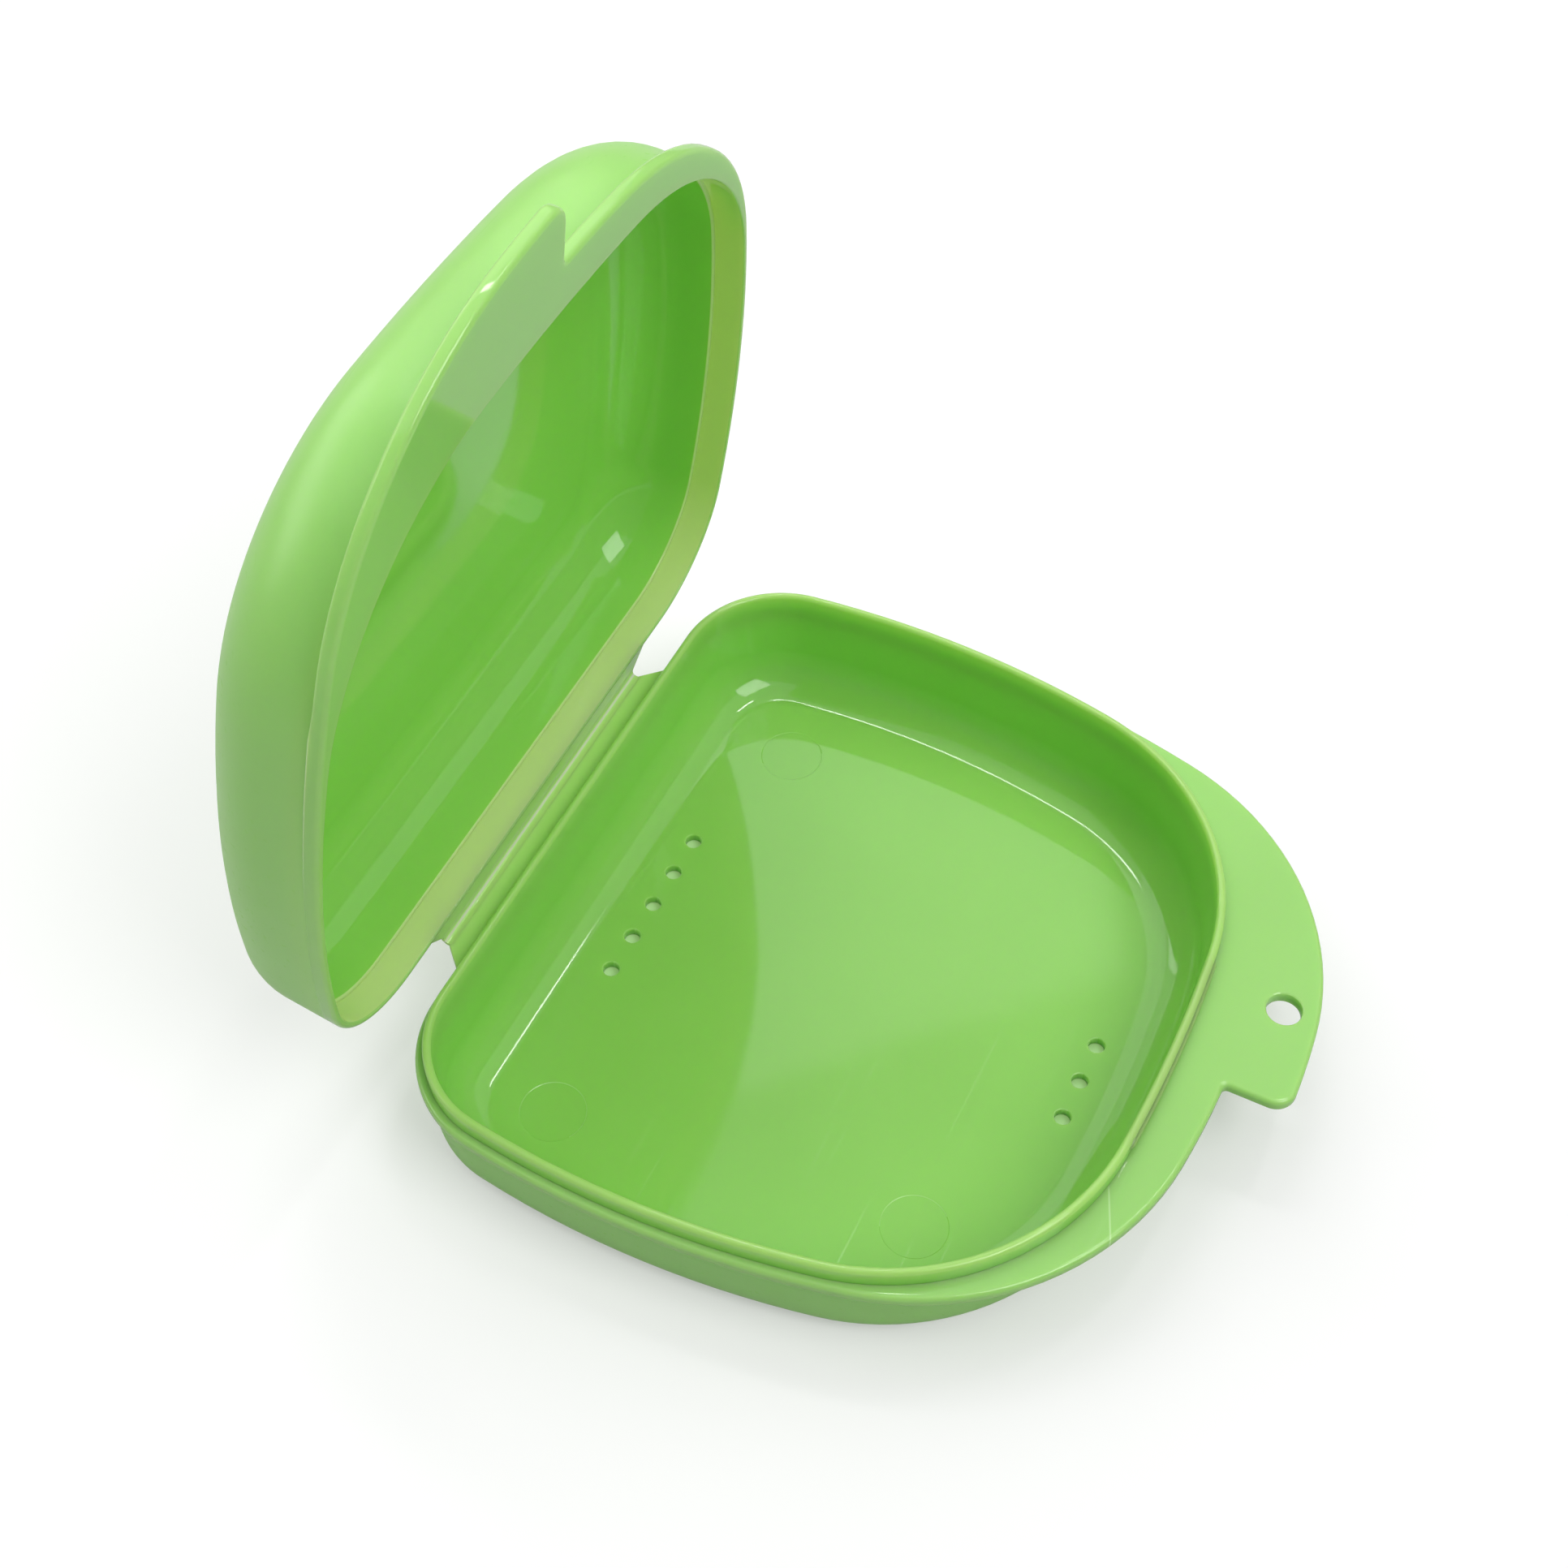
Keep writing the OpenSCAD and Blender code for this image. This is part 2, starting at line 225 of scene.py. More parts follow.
def plastic(name, colour, glow, least=0.035, most=0.08, wave=0.1):
    """Polypropylene: a slightly cloudy tint, hairline scratches in the gloss, a faint moulded ripple.
    glow is how far light wanders inside it, in millimetres; least and most bound its roughness,
    and wave is how strong the ripple is."""
    cloudiness = 0.07
    mat = bpy.data.materials.new(name)
    mat.use_nodes = True
    nodes, links = mat.node_tree.nodes, mat.node_tree.links
    shader = nodes["Principled BSDF"]
    place = nodes.new("ShaderNodeTexCoord").outputs["Object"]
    cloud = nodes.new("ShaderNodeTexNoise")
    cloud.inputs["Scale"].default_value = 34
    cloud.inputs["Detail"].default_value = 3
    links.new(place, cloud.inputs["Vector"])
    tint = nodes.new("ShaderNodeMix")
    tint.data_type = "RGBA"
    tint.inputs["A"].default_value = (*(c * (1 - cloudiness) for c in colour), 1)
    tint.inputs["B"].default_value = (*(c * (1 + cloudiness) for c in colour), 1)
    links.new(cloud.outputs["Fac"], tint.inputs["Factor"])
    links.new(tint.outputs["Result"], shader.inputs["Base Color"])
    gloss = nodes.new("ShaderNodeTexNoise")
    gloss.inputs["Scale"].default_value = 170
    gloss.inputs["Detail"].default_value = 4
    links.new(place, gloss.inputs["Vector"])
    haze = nodes.new("ShaderNodeMapRange")
    haze.inputs["To Min"].default_value = least
    haze.inputs["To Max"].default_value = most
    links.new(gloss.outputs["Fac"], haze.inputs["Value"])
    turned = nodes.new("ShaderNodeMapping")
    turned.inputs["Rotation"].default_value = (0.3, 0.2, 0.7)
    turned.inputs["Scale"].default_value = (40, 1500, 1500)
    links.new(place, turned.inputs["Vector"])
    streak = nodes.new("ShaderNodeTexNoise")
    streak.inputs["Scale"].default_value = 1
    streak.inputs["Detail"].default_value = 1
    links.new(turned.outputs["Vector"], streak.inputs["Vector"])
    scratch = nodes.new("ShaderNodeMapRange")
    scratch.inputs["From Min"].default_value = 0.66
    scratch.inputs["From Max"].default_value = 0.74
    scratch.inputs["To Max"].default_value = 0.16
    links.new(streak.outputs["Fac"], scratch.inputs["Value"])
    rough = nodes.new("ShaderNodeMath")
    links.new(haze.outputs["Result"], rough.inputs[0])
    links.new(scratch.outputs["Result"], rough.inputs[1])
    links.new(rough.outputs["Value"], shader.inputs["Roughness"])
    ripple = nodes.new("ShaderNodeTexNoise")
    ripple.inputs["Scale"].default_value = 110
    links.new(place, ripple.inputs["Vector"])
    bump = nodes.new("ShaderNodeBump")
    bump.inputs["Strength"].default_value = wave
    bump.inputs["Distance"].default_value = 0.0001
    links.new(ripple.outputs["Fac"], bump.inputs["Height"])
    links.new(bump.outputs["Normal"], shader.inputs["Normal"])
    shader.inputs["Subsurface Weight"].default_value = 0.7
    shader.inputs["Subsurface Radius"].default_value = (0.9, 1.0, 0.55)
    shader.inputs["Subsurface Scale"].default_value = glow * MM
    shader.inputs["IOR"].default_value = 1.49
    return mat


def along(mat, point, direction):
    """How far a spot lies past a point, in millimetres, along a direction."""
    nodes, links = mat.node_tree.nodes, mat.node_tree.links
    place = next(n for n in nodes if n.type == "TEX_COORD").outputs["Object"]
    from_point = nodes.new("ShaderNodeVectorMath")
    from_point.operation = "SUBTRACT"
    from_point.inputs[1].default_value = Vector(point) * MM
    links.new(place, from_point.inputs[0])
    dot = nodes.new("ShaderNodeVectorMath")
    dot.operation = "DOT_PRODUCT"
    dot.inputs[1].default_value = Vector(direction).normalized() / MM
    links.new(from_point.outputs["Vector"], dot.inputs[0])
    return dot.outputs["Value"]


def share(mat, value, low, high):
    """Turns a length into a share that goes softly from 0 at low to 1 at high."""
    nodes, links = mat.node_tree.nodes, mat.node_tree.links
    soft = nodes.new("ShaderNodeMapRange")
    soft.interpolation_type = "SMOOTHSTEP"
    soft.inputs["From Min"].default_value = low
    soft.inputs["From Max"].default_value = high
    links.new(value, soft.inputs["Value"])
    return soft.outputs["Result"]


def combine(mat, operation, a, b=None):
    """Sums, multiplies or otherwise changes values that vary over the piece."""
    nodes, links = mat.node_tree.nodes, mat.node_tree.links
    sums = nodes.new("ShaderNodeMath")
    sums.operation = operation
    links.new(a, sums.inputs[0])
    if b:
        links.new(b, sums.inputs[1])
    return sums.outputs["Value"]


def tinted(mat, tint, amount):
    """Lays a second tint over the colour so far, by an amount that varies over the piece."""
    nodes, links = mat.node_tree.nodes, mat.node_tree.links
    colour = nodes["Principled BSDF"].inputs["Base Color"]
    mix = nodes.new("ShaderNodeMix")
    mix.data_type = "RGBA"
    mix.inputs["B"].default_value = (*tint, 1)
    links.new(colour.links[0].from_socket, mix.inputs["A"])
    links.new(amount, mix.inputs["Factor"])
    links.new(mix.outputs["Result"], colour)


def faces_out(f):
    """Whether a face of a wall looks away from the middle of the case."""
    return f.normal.xy.dot(f.calc_center_median().xy - Vector((0, front_y + case_d / 2))) > 0.1


def piece(bm, name, mats, body, slot, *nodes):
    """Makes the finished mesh an object in metres, with soft shading between its sharp edges."""
    sharp_from = math.radians(32)
    bmesh.ops.recalc_face_normals(bm, faces=bm.faces[:])
    bmesh.ops.scale(bm, verts=bm.verts[:], vec=(MM, MM, MM))
    flat = bm.faces.layers.int.get("flat") or bm.faces.layers.int.new("flat")
    for f in bm.faces:
        f.smooth = True
    for e in bm.edges:
        e.smooth = e.calc_face_angle(0) < sharp_from and len({f[flat] for f in e.link_faces}) == 1
    bm.faces.layers.int.remove(flat)
    mesh = bpy.data.meshes.new(name)
    bm.to_mesh(mesh)
    bm.free()
    obj = bpy.data.objects.new(name, mesh)
    bpy.context.scene.collection.objects.link(obj)
    for mat in mats:
        mesh.materials.append(mat)
    if body:
        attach(obj, body)
    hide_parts(*nodes)
    return obj


shell_green = (0.292, 0.655, 0.118)
rim_green = (0.355, 0.675, 0.185)
lip_painted_light_green = (0.37, 0.68, 0.17)
satin_painted_sheen_green = (0.36, 0.70, 0.185)
recess_painted_light_green = (0.54, 0.76, 0.29)
shell_plastic = plastic("shell_green_plastic", shell_green, glow=3.5)
# The lip is tinted paler towards its top: painted light, standing in for its highlight and the light that
# shines through the thin lip.
lip_rise = along(shell_plastic, (0, 0, seat_z), (0, 0, 1))
tinted(shell_plastic, lip_painted_light_green, share(shell_plastic, lip_rise, 0, lip_h))
# The outside of tray and lid comes from a blasted mould face, so it is satin; its green is paler than the
# shell's, a painted sheen standing in for the whitish haze on that face.
satin_plastic = plastic("satin_painted_sheen_green_plastic", satin_painted_sheen_green, glow=3.5, least=0.25, most=0.4, wave=0.4)


def cup(top_o, top_z, z, draft, r):
    """Centre of a cup's rounded edge, and the point where its drafted wall starts."""
    lean = math.radians(draft)
    mid_o = top_o - (top_z - z - r) * math.tan(lean) - r / math.cos(lean)
    return (mid_o, z + r), (mid_o + r * math.cos(lean), z + r - r * math.sin(lean))


outer_mid = cup(lip_in + base_wall_t, tray_top, 0, base_draft, base_edge_r)[0]
inner_mid, inner_wall = cup(lip_in, crown_z, floor_t, base_draft, floor_fillet_r)
tray = bmesh.new()
line = draw(tray, (outer_mid[0] - flat_w, 0), [
    (outer_mid[0], 0), (*outer_mid, 90 - base_draft), (lip_in + base_wall_t, tray_top),
    (lip_out, tray_top), (lip_out, crown_z), (lip_out - lip_t / 2, crown_z, 180),
    inner_wall, (*inner_mid, base_draft - 90), (inner_mid[0] - flat_w, floor_t)])
carry(tray, line, rear_legs + front_legs)
both_sides(tray)
for count, y in drain_rows:
    for i in range(count):
        x = (i - (count - 1) / 2) * drain_pitch
        through_hole(tray, x, y, drain_r, floor_t, 0, drain_soft, drain_sides)
for x, y in pin_spots:
    pin_mark(tray, x, y, pin_r, pin_depth)
fill_flat(tray, floor_t, (0, 0, 1))
fill_flat(tray, 0, (0, 0, -1))
# A low bead along the front of the lip is the catch: it clicks into a groove inside the lid's rim.
catch_l, catch_r, catch_proud, catch_z = 24, 0.45, 0.3, seat_z + 1.2
bead_sides, bead_end_l, bead_end_scale = 16, 0.6, 0.35
bead_y = front_y - lip_out + catch_r - catch_proud
front_centre = (0, front_y + front_bow_r)
catch_turn = math.degrees(catch_l / (front_centre[1] - bead_y))
bead_place = Matrix.Translation((0, bead_y, catch_z)) @ Matrix.Rotation(math.pi / 2, 4, "Y")
bead = bmesh.ops.create_circle(tray, cap_ends=False, radius=catch_r, segments=bead_sides,
                               matrix=bead_place)["verts"]
bmesh.ops.rotate(tray, verts=bead, cent=(*front_centre, 0),
                 matrix=Matrix.Rotation(math.radians(catch_turn / 2), 3, "Z"))
bead_start = edges_of(bead)
bead_end = carry(tray, bead_start, [[front_centre, catch_turn / 2, -catch_turn / 2]])
for end_ring, way in ((bead_start, 1), (bead_end, -1)):
    verts, edges = drawn_out(tray, end_ring)
    end_mid = sum((v.co for v in verts), Vector()) / len(verts)
    bmesh.ops.scale(tray, verts=verts, vec=[bead_end_scale] * 3, space=Matrix.Translation(-end_mid))
    bmesh.ops.translate(tray, verts=verts, vec=(way * bead_end_l, 0, 0))
    bmesh.ops.contextual_create(tray, geom=edges)
bmesh.ops.recalc_face_normals(tray, faces=tray.faces[:])
for f in tray.faces:
    below_rim = f.calc_center_median().z < tray_top + slack
    f.material_index = int(below_rim and (faces_out(f) or f.normal.z < -level))
piece(tray, "tray_shell", [shell_plastic, satin_plastic], "base", "shell_plastic", "base_tray")


# The rim is the flat band that stands out round the tray, moulded with it. At the front it widens
# into a narrow crescent on the left and a thumb tab on the right, with a step between them.
# The tab has a round hole for a neck cord, and a knit line crosses the crescent where two flows met.
crescent_reach, tab_reach, flange_corner_r, flange_bow_r = 4.5, 11.6, 32.5, 100
tab_side_r, step_x, tab_corner_r, step_fillet_r = 141, -0.4, 2.3, 0.6
rim_flat_w, into_lip = 0.2, 0.1
rim_in = -edge_r - rim_flat_w
tab_hole_x, tab_hole_y, tab_hole_r = 11, front_y - tab_reach + 4.5, 1.9
tab_hole_soft, tab_hole_sides = 0.22, 44
knit_green = (0.5, 0.76, 0.33)
knit_start, knit_way, knit_across = (-16.9, -45.9, 0), (-0.92, -0.39, 0), (0.39, -0.92, 0)
knit_near_w, knit_far_w, knit_fade, knit_front_y = 0.04, 0.14, 0.5, -44


def flange_legs(x):
    """Legs round the front flange, from the widest line on the right to the widest line on the left."""
    tab_c = (0, front_y - tab_reach + flange_bow_r)
    corner_x = x + tab_corner_r
    corner = (corner_x, tab_c[1] - math.sqrt((flange_bow_r - tab_corner_r) ** 2 - corner_x ** 2))
    tab_end = heading(tab_c, corner)
    crescent_c = (0, front_y - crescent_reach + flange_bow_r)
    fillet_x = x - step_fillet_r
    fillet = (fillet_x, crescent_c[1] - math.sqrt((flange_bow_r + step_fillet_r) ** 2 - fillet_x ** 2))
    crescent_end = -180 - heading(crescent_c, fillet)
    return (front_half(tab_side_r, flange_corner_r, flange_bow_r, tab_reach, tab_end)
            + [[corner, tab_end, -180], [0, fillet[1] - corner[1]], [fillet, -180, -180 - crescent_end]]
            + way_back(front_half(side_bow_r, flange_corner_r, flange_bow_r, crescent_reach, crescent_end)))


def add_walls(bm, start, strokes):
    """Adds walls that follow the rim's outline all the way round to a mesh."""
    walls = bmesh.new()
    carry(walls, draw(walls, start, strokes), rear_legs + front_legs)
    both_sides(walls)
    mesh = bpy.data.meshes.new("walls")
    walls.to_mesh(mesh)
    walls.free()
    bm.from_mesh(mesh)
    bpy.data.meshes.remove(mesh)


rim_plastic = plastic("rim_green_plastic", rim_green, glow=2)
knit_side = combine(rim_plastic, "ABSOLUTE", along(rim_plastic, knit_start, knit_across))
knit_near = share(rim_plastic, knit_side, knit_far_w, knit_near_w)
knit_long = share(rim_plastic, along(rim_plastic, knit_start, knit_way), -knit_fade, knit_fade)
knit_front = share(rim_plastic, along(rim_plastic, (0, knit_front_y, 0), (0, -1, 0)), 0, knit_fade)
knit_line = combine(rim_plastic, "MULTIPLY", knit_near, knit_long)
tinted(rim_plastic, knit_green, combine(rim_plastic, "MULTIPLY", knit_line, knit_front))
rim = bmesh.new()
line = draw(rim, (rim_in, tray_top), [
    (-edge_r, tray_top), (-edge_r, tray_top + edge_r, 90), (0, seat_z - edge_r),
    (-edge_r, seat_z - edge_r, 90), (rim_in, seat_z)])
carry(rim, line, rear_legs + flange_legs(step_x) + way_back(rear_legs))
bmesh.ops.remove_doubles(rim, verts=rim.verts[:], dist=1e-3)
add_walls(rim, (lip_out - into_lip, tray_top), [(lip_out - into_lip, seat_z)])
through_hole(rim, tab_hole_x, tab_hole_y, tab_hole_r, seat_z, tray_top, tab_hole_soft, tab_hole_sides)
fill_flat(rim, seat_z, (0, 0, 1))
fill_flat(rim, tray_top, (0, 0, -1))
piece(rim, "tray_rim", [rim_plastic], "base", "rim_plastic", "base_rim")


# The strap along the back joins tray and lid. Its lower leaf stands out of the tray's rim, wider at
# its root than at the fold, and is moulded in one with the rim.
hinge_y, part_z, lid_z = 29.25, 12.68, 12.76
half_strap, flare_w, leaf_t, film_w, film_t = 21.2, 2.2, 1.0, 1.0, 0.4
leaf_end_y = hinge_y - film_w / 2
open_angle = 82.7
root_in, leaf_gap, leaf_soft = 0.75, 0.01, 0.2
# The strap's green is paler than the shell's: painted light, standing in for the light that reaches the
# strap between lid and tray.
strap_painted_light_green = (0.47, 0.78, 0.22)
strap_plastic = plastic("strap_painted_light_green_plastic", strap_painted_light_green, glow=1)


def leaf(bm, bottom):
    """One leaf of the strap, drawn flat, rooted inside its rim, with softened side edges."""
    wide = half_strap + flare_w * (1 + root_in / (leaf_end_y - rear_y))
    corners = [(-wide, rear_y - root_in), (wide, rear_y - root_in),
               (half_strap, leaf_end_y), (-half_strap, leaf_end_y)]
    face = bm.faces.new([bm.verts.new((x, y, bottom)) for x, y in corners])
    up = bmesh.ops.extrude_face_region(bm, geom=[face])["geom"]
    bmesh.ops.translate(bm, verts=only(up, bmesh.types.BMVert), vec=(0, 0, leaf_t))
    sides = [e for e in bm.edges if abs(e.verts[0].co.y - e.verts[1].co.y) > 1]
    bmesh.ops.bevel(bm, geom=sides, offset=leaf_soft, affect="EDGES", segments=4, profile=0.5, material=-1)


lower = bmesh.new()
leaf(lower, seat_z - leaf_t - leaf_gap)
piece(lower, "tray_leaf", [strap_plastic], "base", "strap_plastic", "base_hinge_leaf")


# The living hinge is a film of the same plastic, thin enough to bend for years. It has turned white
# along the fold, where the plastic was drawn out the first time that the lid was shut.
crease_white, crease_core, crease_edge = (0.72, 0.78, 0.6), 0.06, 0.22
into_leaf, fold_steps = 0.4, 16
# The film takes the strap's paler green, which is painted light.
film_plastic = plastic("film_green_plastic", strap_painted_light_green, glow=1)
mid_z = lid_z - part_z + film_t / 2
fold = math.radians(180 - open_angle)
bend_r = (mid_z / math.tan(math.radians(open_angle / 2)) + film_w / 2) / math.tan(fold / 2)
bend_z = part_z - mid_z + bend_r
crease = along(film_plastic, (0, leaf_end_y, bend_z), (0, math.cos(fold / 2), math.sin(fold / 2)))
crease_off = combine(film_plastic, "ABSOLUTE", crease)
tinted(film_plastic, crease_white, share(film_plastic, crease_off, crease_edge, crease_core))
web = bmesh.new()
ends = [web.verts.new((x * half_strap, leaf_end_y - into_leaf, part_z - mid_z + s * film_t / 2))
        for x, s in ((-1, -1), (1, -1), (1, 1), (-1, 1))]
verts, edges = drawn_out(web, web.faces.new(ends).edges[:])
bmesh.ops.translate(web, verts=verts, vec=(0, into_leaf, 0))
out = bmesh.ops.spin(web, geom=verts + edges, axis=(1, 0, 0), dvec=(0, 0, 0), cent=(0, leaf_end_y, bend_z),
                     angle=fold, steps=fold_steps, use_merge=False, use_duplicate=False)["geom_last"]
verts, edges = drawn_out(web, only(out, bmesh.types.BMEdge))
bmesh.ops.translate(web, verts=verts, vec=(0, into_leaf * math.cos(fold), into_leaf * math.sin(fold)))
bmesh.ops.contextual_create(web, geom=edges)
hinge_web = piece(web, "hinge_web", [film_plastic], None, "film_plastic", "hinge_film")
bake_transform(hinge_web)


# The upper leaf is the lid's half of the strap. Like the rest of the lid it is drawn shut, in the
# place where it lies over the tray, and then turned open about the fold.
def turn_open(bm):
    """Turns a shut piece of the lid to where it stands open."""
    bmesh.ops.rotate(bm, verts=bm.verts[:], cent=(0, hinge_y, part_z),
                     matrix=Matrix.Rotation(math.radians(-open_angle), 3, "X"))


upper = bmesh.new()
leaf(upper, lid_z + leaf_gap)
turn_open(upper)
piece(upper, "lid_leaf", [strap_plastic], "lid", "strap_plastic", "lid_hinge_leaf")


# The lid is one thin moulding: a flat roof with wide roundings, drafted walls, and a rim that drops
# over the tray's lip. Inside the rim a recess leaves a narrow ledge, and the flange in front has the
# other tab and crescent, so that each tab lies over the other half's crescent when the case is shut.
lid_h, lid_wall_t, roof_t, lid_draft = 14.9, 1.3, 1.15, 3.2
roof_edge_r, roof_fillet_r, recess_h, lip_clear = 8.6, 7.4, 3.45, 0.18
roof_z, foot_z, seam_z = lid_z + lid_h, lid_z + rim_t, lid_z + recess_h
recess_out = lip_out + lip_clear
soft_r, run_out = 0.2, 0.05
flange_round, flange_wide = 0.45, 1.6
groove_half_h, groove_deep, groove_half_l = 0.55, 0.27, catch_l / 2 + 1
roof_mid, roof_wall = cup(0, lid_h - recess_h, 0, lid_draft, roof_edge_r)
roof_in_mid, roof_in_wall = cup(-lid_wall_t, lid_h - recess_h, roof_t, lid_draft, roof_fillet_r)
foot_o = roof_wall[0] * (rim_t - edge_r) / (lid_h - roof_wall[1] - edge_r)
lid = bmesh.new()
line = draw(lid, (-edge_r - run_out, lid_z), [
    (-edge_r, lid_z), (-edge_r, lid_z + edge_r, 90), (foot_o, foot_z),
    (roof_wall[0], roof_z - roof_wall[1]), (roof_mid[0], roof_z - roof_mid[1], 90 - lid_draft),
    (roof_mid[0] - flat_w, roof_z)])
# On the crescent's side, flange and wall share one arc up to the angle at which the crescent departs.
lid_flange = flange_legs(-step_x)
departs = max(front_legs[0][2], -180 - lid_flange[-1][1])
left_rear = other_side(rear_legs) + [[(-side_centre[0], 0), -180, -180 - departs]]
lid_flange[-1][2] = -180 - departs
wall_legs = front_legs + way_back(front_legs)
wall_legs[-1][2] = -180 - departs
carry(lid, line, left_rear)
right = carry(lid, line, rear_legs)
low = [e for e in right if max(v.co.z for v in e.verts) < foot_z + slack]
carry(lid, low, lid_flange)
carry(lid, [e for e in right if e not in low], wall_legs)
bmesh.ops.remove_doubles(lid, verts=lid.verts[:], dist=1e-3)
flange_back = bmesh.ops.contextual_create(lid, geom=open_edges(lid, foot_z))["faces"][0]


def middle(edge):
    """Middle of an edge."""
    return (edge.verts[0].co + edge.verts[1].co) / 2


# Where the flange is wide enough, the edge of its back is rounded.
at_wall = [e for e in flange_back.edges
           if max(f.calc_center_median().z for f in e.link_faces) > foot_z + slack]
wall_spots = [middle(e) for e in at_wall]
free = [e for e in flange_back.edges
        if e not in at_wall and min((p - middle(e)).length for p in wall_spots) > flange_wide]
bmesh.ops.bevel(lid, geom=free, offset=flange_round, affect="EDGES", segments=4, profile=0.5, material=-1)
bmesh.ops.remove_doubles(lid, verts=lid.verts[:], dist=1e-3)
add_walls(lid, (recess_out + soft_r, lid_z), [
    (recess_out + soft_r, lid_z + soft_r, -90), (recess_out, seam_z), (soft_r - lid_wall_t, seam_z),
    (soft_r - lid_wall_t, seam_z + soft_r, -90), (roof_in_wall[0], roof_z - roof_in_wall[1]),
    (roof_in_mid[0], roof_z - roof_in_mid[1], 90 - lid_draft), (roof_in_mid[0] - flat_w, roof_z - roof_t)])
# The groove for the catch is cut along the front of the recess: three lines, the middle one pushed in.
recess_y = front_y - recess_out
recess_band, cut_half_l, least_area = 0.6, catch_l / 2 + 1.5, 0.2


def in_front_recess(f):
    """Whether a face is part of the upright recess wall in front of the catch."""
    upright = abs(f.normal.z) < 0.1 and lid_z < f.calc_center_median().z < seam_z
    near_catch = all(abs(v.co.x) < cut_half_l and abs(v.co.y - recess_y) < recess_band for v in f.verts)
    return upright and near_catch and f.calc_area() > least_area


for z in (catch_z - groove_half_h, catch_z, catch_z + groove_half_h):
    cut = {g for f in lid.faces if in_front_recess(f) for g in (f, *f.edges, *f.verts)}
    bmesh.ops.bisect_plane(lid, geom=list(cut), dist=1e-4, plane_co=(0, 0, z), plane_no=(0, 0, 1))
groove = [v for v in lid.verts if abs(v.co.z - catch_z) < 1e-3 and v.co.y < front_y + 2
          and abs(v.co.x) < groove_half_l]
bmesh.ops.translate(lid, vec=(0, -groove_deep, 0), verts=groove)
fill_flat(lid, lid_z, (0, 0, -1))
fill_flat(lid, roof_z, (0, 0, 1))
fill_flat(lid, roof_z - roof_t, (0, 0, -1))
bmesh.ops.recalc_face_normals(lid, faces=lid.faces[:])
# The four finishes, numbered in the order in which the piece lists its materials.
gloss, rim_gloss, recess_gloss, satin = range(4)
for f in lid.faces:
    z = f.calc_center_median().z
    if z < foot_z + slack:
        f.material_index = rim_gloss
    elif faces_out(f) or f.normal.z > level:
        f.material_index = satin
    else:
        f.material_index = recess_gloss if z < seam_z + soft_r else gloss
# Drawn with its tab on the right, like the tray's rim, the lid is mirrored to have it on the left.
bmesh.ops.scale(lid, verts=lid.verts[:], vec=(-1, 1, 1))
turn_open(lid)
lid_plastic = plastic("lid_green_plastic", shell_green, glow=3.5)
lid_rim_plastic = plastic("lid_rim_green_plastic", rim_green, glow=3)
# The recess wall and ledge are tinted paler than the lid: painted light, standing in for the light that
# falls on the upturned band and shines through its thin wall.
recess_plastic = plastic("recess_painted_light_green_plastic", recess_painted_light_green, glow=3)
piece(lid, "lid_dome", [lid_plastic, lid_rim_plastic, recess_plastic, satin_plastic],
      "lid", "shell_plastic", "lid_shell", "lid_rim")


# A pale table top under soft light: a wide ceiling, a lamp in front, two behind, and two strips that
# draw the long thin highlights in the roundings. The camera stands at the photograph's viewing angle.
table = bmesh.new()
bmesh.ops.create_grid(table, x_segments=1, y_segments=1, size=4)
table_mesh = bpy.data.meshes.new("table_top")
table.to_mesh(table_mesh)
table.free()
table_top = bpy.data.objects.new("table_top", table_mesh)
table_gap = 0.0002
table_top.location.z = -table_gap
bpy.context.scene.collection.objects.link(table_top)
white, seen_white, bounce_grey = (1, 1, 1), (0.96, 0.96, 0.96), (0.55, 0.55, 0.55)
under_tray_painted_green, under_tray_painted_glow, under_r, clear_r = (0.5, 0.8, 0.42), (0.48, 0.8, 0.26), 0.0292, 0.0305
tray_middle = (0, -0.01, 0)
glow_near, glow_far, least_glow = 0.12, 0.5, 0.34
table_mat = bpy.data.materials.new("table_white")
table_mat.use_nodes = True
table_nodes, table_links = table_mat.node_tree.nodes, table_mat.node_tree.links
table_white = table_nodes["Principled BSDF"]
table_white.inputs["Roughness"].default_value = 0.9
table_seen = table_nodes.new("ShaderNodeLightPath").outputs["Is Camera Ray"]
table_far = table_nodes.new("ShaderNodeVectorMath")
table_far.operation = "DISTANCE"
table_far.inputs[1].default_value = tray_middle
table_links.new(table_nodes.new("ShaderNodeTexCoord").outputs["Object"], table_far.inputs[0])


def table_range(near, far, at_near, at_far):
    """A value that depends on how far a spot of the table is from the tray's middle."""
    spread = table_nodes.new("ShaderNodeMapRange")
    for name, value in (("From Min", near), ("From Max", far), ("To Min", at_near), ("To Max", at_far)):
        spread.inputs[name].default_value = value
    table_links.new(table_far.outputs["Value"], spread.inputs["Value"])
    return spread.outputs["Result"]


def table_blend(first, second, factor):
    """Goes from one colour of the table to another."""
    blend = table_nodes.new("ShaderNodeMix")
    blend.data_type = "RGBA"
    blend.inputs["A"].default_value = (*first, 1)
    blend.inputs["B"].default_value = (*second, 1)
    table_links.new(factor, blend.inputs["Factor"])
    return blend


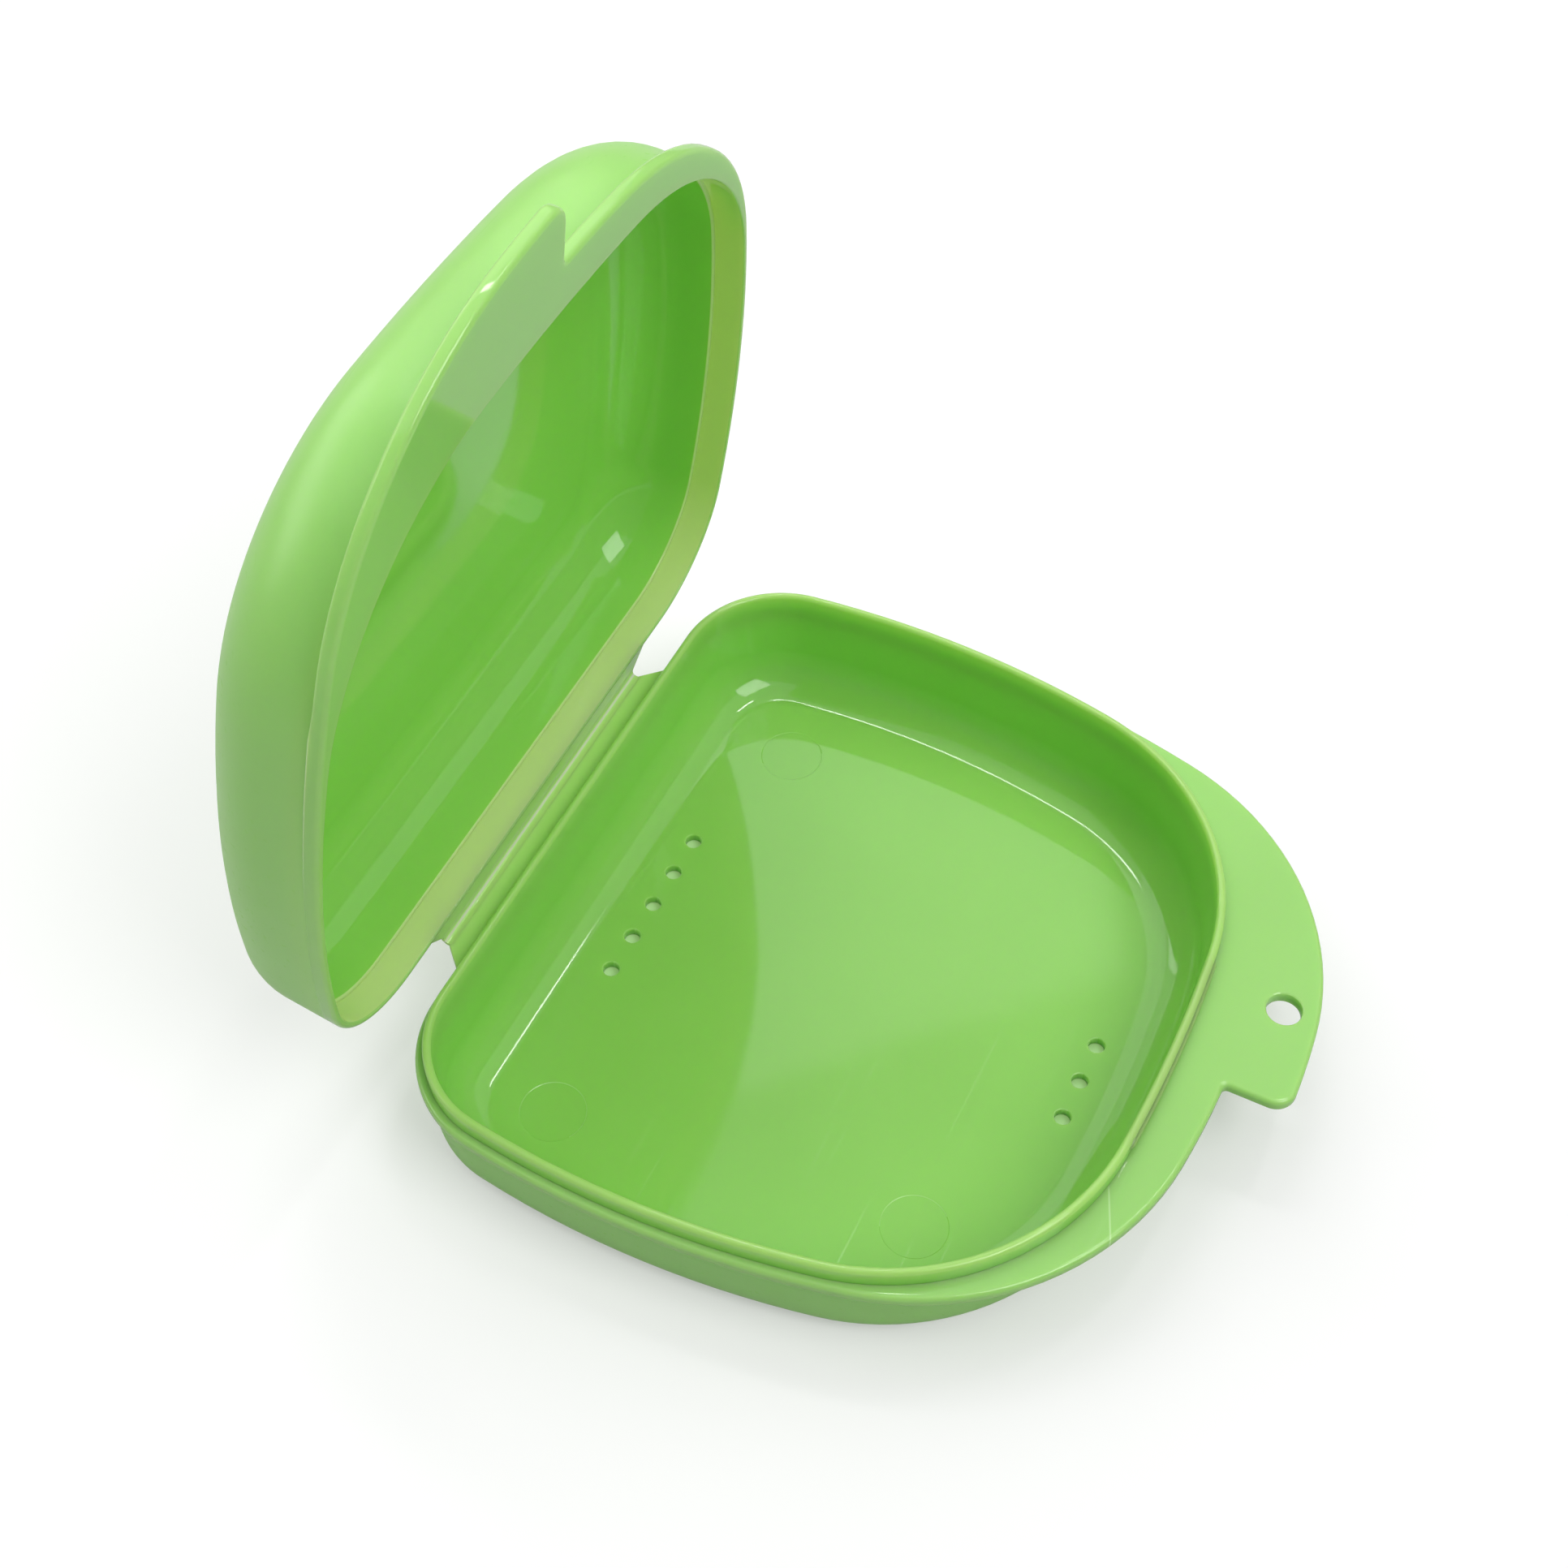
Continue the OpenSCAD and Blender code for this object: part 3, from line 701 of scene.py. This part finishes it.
# Under the tray the table is painted green and glows green to the camera: painted shade and painted light,
# standing in for the light that the green plastic lets through, seen in the drain holes.
table_clear = table_range(under_r, clear_r, 0, 1)
table_tone = table_blend(bounce_grey, seen_white, table_seen)
table_painted_green_under_tray = table_blend(under_tray_painted_green, white, table_clear)
table_links.new(table_tone.outputs["Result"], table_painted_green_under_tray.inputs["B"])
table_links.new(table_painted_green_under_tray.outputs["Result"], table_white.inputs["Base Color"])
table_glow = table_nodes.new("ShaderNodeEmission")
table_glow_and_painted_glow = table_blend(under_tray_painted_glow, white, table_clear)
table_links.new(table_glow_and_painted_glow.outputs["Result"], table_glow.inputs["Color"])
# Away from the case the table glows white to the camera, so that no horizon shows.
table_share = table_nodes.new("ShaderNodeMath")
table_share.operation = "MULTIPLY"
table_links.new(table_seen, table_share.inputs[0])
table_links.new(table_range(glow_near, glow_far, least_glow, 1), table_share.inputs[1])
table_mix = table_nodes.new("ShaderNodeMixShader")
table_links.new(table_share.outputs["Value"], table_mix.inputs["Fac"])
table_links.new(table_white.outputs["BSDF"], table_mix.inputs[1])
table_links.new(table_glow.outputs["Emission"], table_mix.inputs[2])
table_links.new(table_mix.outputs["Shader"], table_nodes["Material Output"].inputs["Surface"])
table_mesh.materials.append(table_mat)

# The room is white where the camera sees it, and lights the case only a little.
world = bpy.data.worlds.new("white_room")
bpy.context.scene.world = world
world.use_nodes = True
room_nodes, room_links = world.node_tree.nodes, world.node_tree.links
room = room_nodes["Background"]
room.inputs["Color"].default_value = (1, 1, 1, 1)
room_light = room_nodes.new("ShaderNodeMapRange")
room_strength = 0.2
room_light.inputs["To Min"].default_value = room_strength
room_links.new(room_nodes.new("ShaderNodeLightPath").outputs["Is Camera Ray"], room_light.inputs["Value"])
room_links.new(room_light.outputs["Result"], room.inputs["Strength"])


def lamp(name, at, aim, size, size_y, watts):
    """A soft rectangular lamp that looks at a point."""
    data = bpy.data.lights.new(name, "AREA")
    data.shape = "RECTANGLE"
    data.size, data.size_y, data.energy = size, size_y, watts
    obj = bpy.data.objects.new(name, data)
    obj.location = at
    obj.rotation_euler = (Vector(aim) - Vector(at)).to_track_quat("-Z", "Y").to_euler()
    bpy.context.scene.collection.objects.link(obj)


lamp("ceiling_lamp", (0.4, 0.0, 1.1), (0.4, 0.0, 0), 2.0, 2.0, 9.2)
lamp("key_lamp", (-0.12, -0.58, 0.82), (0, 0, 0.02), 0.5, 0.5, 3.7)
lamp("window_lamp", (0.62, 0.62, 0.75), (0, 0, 0.05), 0.9, 0.9, 2.3)
lamp("back_lamp", (-0.1, 1.0, 0.62), (0, 0, 0.05), 1.2, 0.5, 4.2)
lamp("side_strip", (0.34, 0.255, 1.0), (0.34, 0.255, 0), 0.06, 0.31, 0.85)
lamp("front_strip", (0.41, -0.13, 1.0), (0.41, -0.13, 0), 0.22, 0.06, 0.65)

camera_right, camera_up = (0.4441, -0.8960, 0.0), (0.7088, 0.3513, 0.6118)
camera_back, camera_at = (-0.5481, -0.2717, 0.7911), (-0.1271, -0.0642, 0.2169)
camera = bpy.data.cameras.new("camera")
camera.lens = 52.0
camera.sensor_width = 36
camera.clip_start = 0.01
camera_obj = bpy.data.objects.new("camera", camera)
camera_turn = Matrix((camera_right, camera_up, camera_back)).transposed().to_4x4()
camera_obj.matrix_world = Matrix.Translation(camera_at) @ camera_turn
bpy.context.scene.collection.objects.link(camera_obj)
bpy.context.scene.camera = camera_obj
bpy.context.scene.view_settings.view_transform = "Standard"
